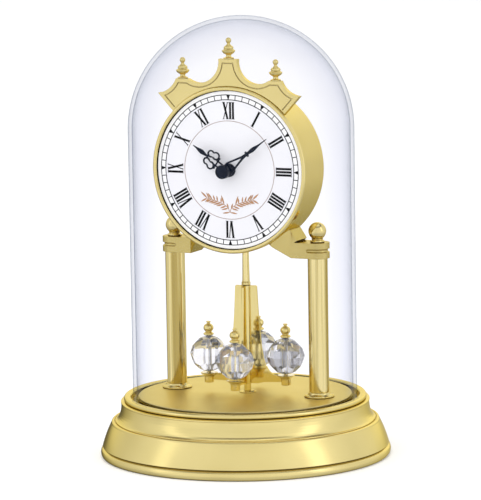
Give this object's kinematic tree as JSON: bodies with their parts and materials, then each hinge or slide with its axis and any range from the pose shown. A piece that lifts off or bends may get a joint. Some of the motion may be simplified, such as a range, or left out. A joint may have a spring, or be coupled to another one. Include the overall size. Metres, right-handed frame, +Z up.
{
  "type": "anniversary clock",
  "caption": "Quartz anniversary clock with a round scallop-crested head on columns, a rotating crystal-ball pendulum, a stepped round base and a lift-off glass dome.",
  "frame": {"origin": "centre of the base's underside, where the felt meets the table", "axes": "+Z up along the dome's axis; the dial faces -Y; +X is to the viewer's right when facing the dial"},
  "size_m": [0.1516, 0.1516, 0.229],
  "materials": {
    "brass": "polished and lacquered",
    "dial": "matt enamel",
    "hands": "dark blue, satin",
    "steel": "plain",
    "plastic_dark": "moulded",
    "wheel_plastic": "moulded",
    "bearing": "low-friction plastic",
    "felt": "felt",
    "board": "lacquered circuit board",
    "copper": "enamelled copper wire",
    "magnet": "sintered",
    "battery_jacket": "printed sleeve, no text",
    "crystal": "cut and polished",
    "dome_glass": "clear, blown"
  },
  "bodies": {
    "clock": {"base_shell": "brass", "base_cover": "plastic_dark", "felt_pad": "felt", "cover_screws": "steel", "deck_plate": "brass", "guide_bush": "brass", "column_left": "brass", "column_right": "brass", "column_foot_left": "brass", "column_foot_right": "brass", "tie_rods": "steel", "rod_nuts": "steel", "bracket_left": "brass", "bracket_right": "brass", "bracket_screws": "steel", "ball_finial_left": "brass", "ball_finial_right": "brass", "drum_case": "brass", "bezel": "brass", "dial_plate": "dial", "crest_plate": "brass", "crest_finial_left": "brass", "crest_finial_centre": "brass", "crest_finial_right": "brass", "crest_screws": "steel", "rear_cover": "brass", "rear_screws": "steel", "movement_front": "plastic_dark", "movement_rear": "plastic_dark", "middle_plate": "steel", "mounting_nut": "hands", "circuit_board": "board", "quartz_can": "steel", "stator": "steel", "drive_coil": "copper", "battery_contacts": "steel", "pendulum_housing": "plastic_dark", "pendulum_bearing": "bearing", "pendulum_coil": "copper"},
    "minute": {"minute_arbor": "steel", "minute_hand": "hands", "hand_cap": "hands"},
    "minute_wheel": {"minute_wheel": "wheel_plastic"},
    "hour": {"hour_wheel": "wheel_plastic", "hour_hand": "hands"},
    "set_knob": {"setting_knob": "plastic_dark"},
    "seconds": {"seconds_wheel": "wheel_plastic"},
    "third": {"third_wheel": "wheel_plastic"},
    "centre": {"centre_wheel": "wheel_plastic"},
    "intermediate": {"intermediate_wheel": "wheel_plastic"},
    "motor_rotor": {"rotor": "magnet"},
    "pendulum": {"pendulum_stem": "brass", "drive_magnet": "magnet", "pendulum_body": "brass", "crystal_posts": "brass", "crystal_balls": "crystal", "crystal_finials": "brass"},
    "cell": {"battery": "battery_jacket"},
    "dome": {"glass_dome": "dome_glass"}
  },
  "joints": [
    {"name": "dome_lift", "type": "slide", "parent": "clock", "child": "dome", "axis": [0, 0, 1], "range_m": [0, 0.2]},
    {"name": "minute_turn", "type": "hinge", "parent": "clock", "child": "minute", "pos_m": [0, 0, 0.1505], "axis": [0, 1, 0], "continuous": true},
    {"name": "minute_wheel_turn", "type": "hinge", "parent": "clock", "child": "minute_wheel", "pos_m": [0, 0, 0.1605], "axis": [0, 1, 0], "continuous": true},
    {"name": "hour_turn", "type": "hinge", "parent": "clock", "child": "hour", "pos_m": [0, 0, 0.1505], "axis": [0, 1, 0], "continuous": true},
    {"name": "knob_turn", "type": "hinge", "parent": "clock", "child": "set_knob", "pos_m": [0.0094, 0, 0.15708], "axis": [0, 1, 0], "continuous": true},
    {"name": "seconds_turn", "type": "hinge", "parent": "clock", "child": "seconds", "pos_m": [-0.00838, 0, 0.16424], "axis": [0, 1, 0], "continuous": true},
    {"name": "third_turn", "type": "hinge", "parent": "clock", "child": "third", "pos_m": [-0.01015, 0, 0.15419], "axis": [0, 1, 0], "continuous": true},
    {"name": "centre_turn", "type": "hinge", "parent": "clock", "child": "centre", "pos_m": [0, 0, 0.1505], "axis": [0, 1, 0], "continuous": true},
    {"name": "intermediate_turn", "type": "hinge", "parent": "clock", "child": "intermediate", "pos_m": [-0.00011, 0, 0.1657], "axis": [0, 1, 0], "continuous": true},
    {"name": "rotor_turn", "type": "hinge", "parent": "clock", "child": "motor_rotor", "pos_m": [0.00709, 0, 0.1657], "axis": [0, 1, 0], "continuous": true},
    {"name": "pendulum_turn", "type": "hinge", "parent": "clock", "child": "pendulum", "pos_m": [0, 0.0032, 0.04], "axis": [0, 0, 1], "range_deg": [-135, 135]},
    {"name": "cell_slide", "type": "slide", "parent": "clock", "child": "cell", "axis": [0, 1, 0], "range_m": [0, 0.03]}
  ],
  "couplings": [
    {"joint": "minute_wheel_turn", "follows": "minute_turn", "ratio": -0.33333},
    {"joint": "hour_turn", "follows": "minute_turn", "ratio": 0.083333},
    {"joint": "knob_turn", "follows": "minute_turn", "ratio": 1},
    {"joint": "third_turn", "follows": "seconds_turn", "ratio": -0.13333},
    {"joint": "centre_turn", "follows": "seconds_turn", "ratio": 0.016667},
    {"joint": "intermediate_turn", "follows": "seconds_turn", "ratio": -6},
    {"joint": "rotor_turn", "follows": "seconds_turn", "ratio": 30}
  ]
}
